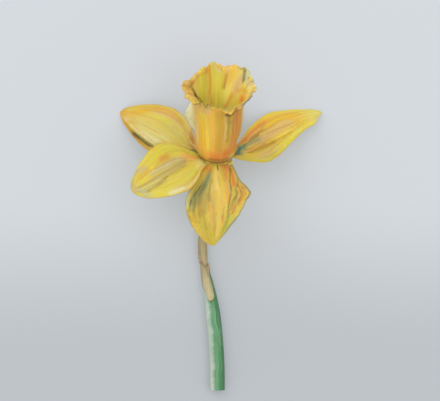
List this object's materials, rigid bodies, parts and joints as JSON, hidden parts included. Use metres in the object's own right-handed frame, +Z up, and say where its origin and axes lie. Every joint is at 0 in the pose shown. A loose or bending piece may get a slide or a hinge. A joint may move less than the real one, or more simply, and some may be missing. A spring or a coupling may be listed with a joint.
{
  "type": "daffodil flower",
  "caption": "Cut daffodil lying on a surface: ribbed trumpet with a frilled rim, spread petals, papery sheath and a hollow green stem.",
  "frame": {"origin": "middle of the footprint's bounding box, on the surface the flower lies on", "axes": "+Z up from the surface, +Y from the cut end of the stem towards the trumpet, +X to the right seen from above"},
  "size_m": [0.0954, 0.1518, 0.0633],
  "materials": {
    "petal": "soft satin petal, lemon yellow with orange and green shading",
    "trumpet_petal": "soft satin petal, golden with an orange rim",
    "tube_petal": "soft satin, yellow-green",
    "ovary_green": "smooth, green",
    "stem_green": "smooth waxy green",
    "stalk_green": "smooth waxy green",
    "dry_sheath": "dry and papery, tan"
  },
  "bodies": {
    "root": {"corona": "trumpet_petal", "floral_tube": "tube_petal", "pistil": "ovary_green", "outer_tepal_right": "petal", "inner_tepal_back": "petal", "outer_tepal_left": "petal", "inner_tepal_left": "petal", "outer_tepal_front": "petal", "inner_tepal_under": "petal", "scape": "stem_green", "pedicel": "stalk_green", "spathe": "dry_sheath"}
  },
  "joints": []
}
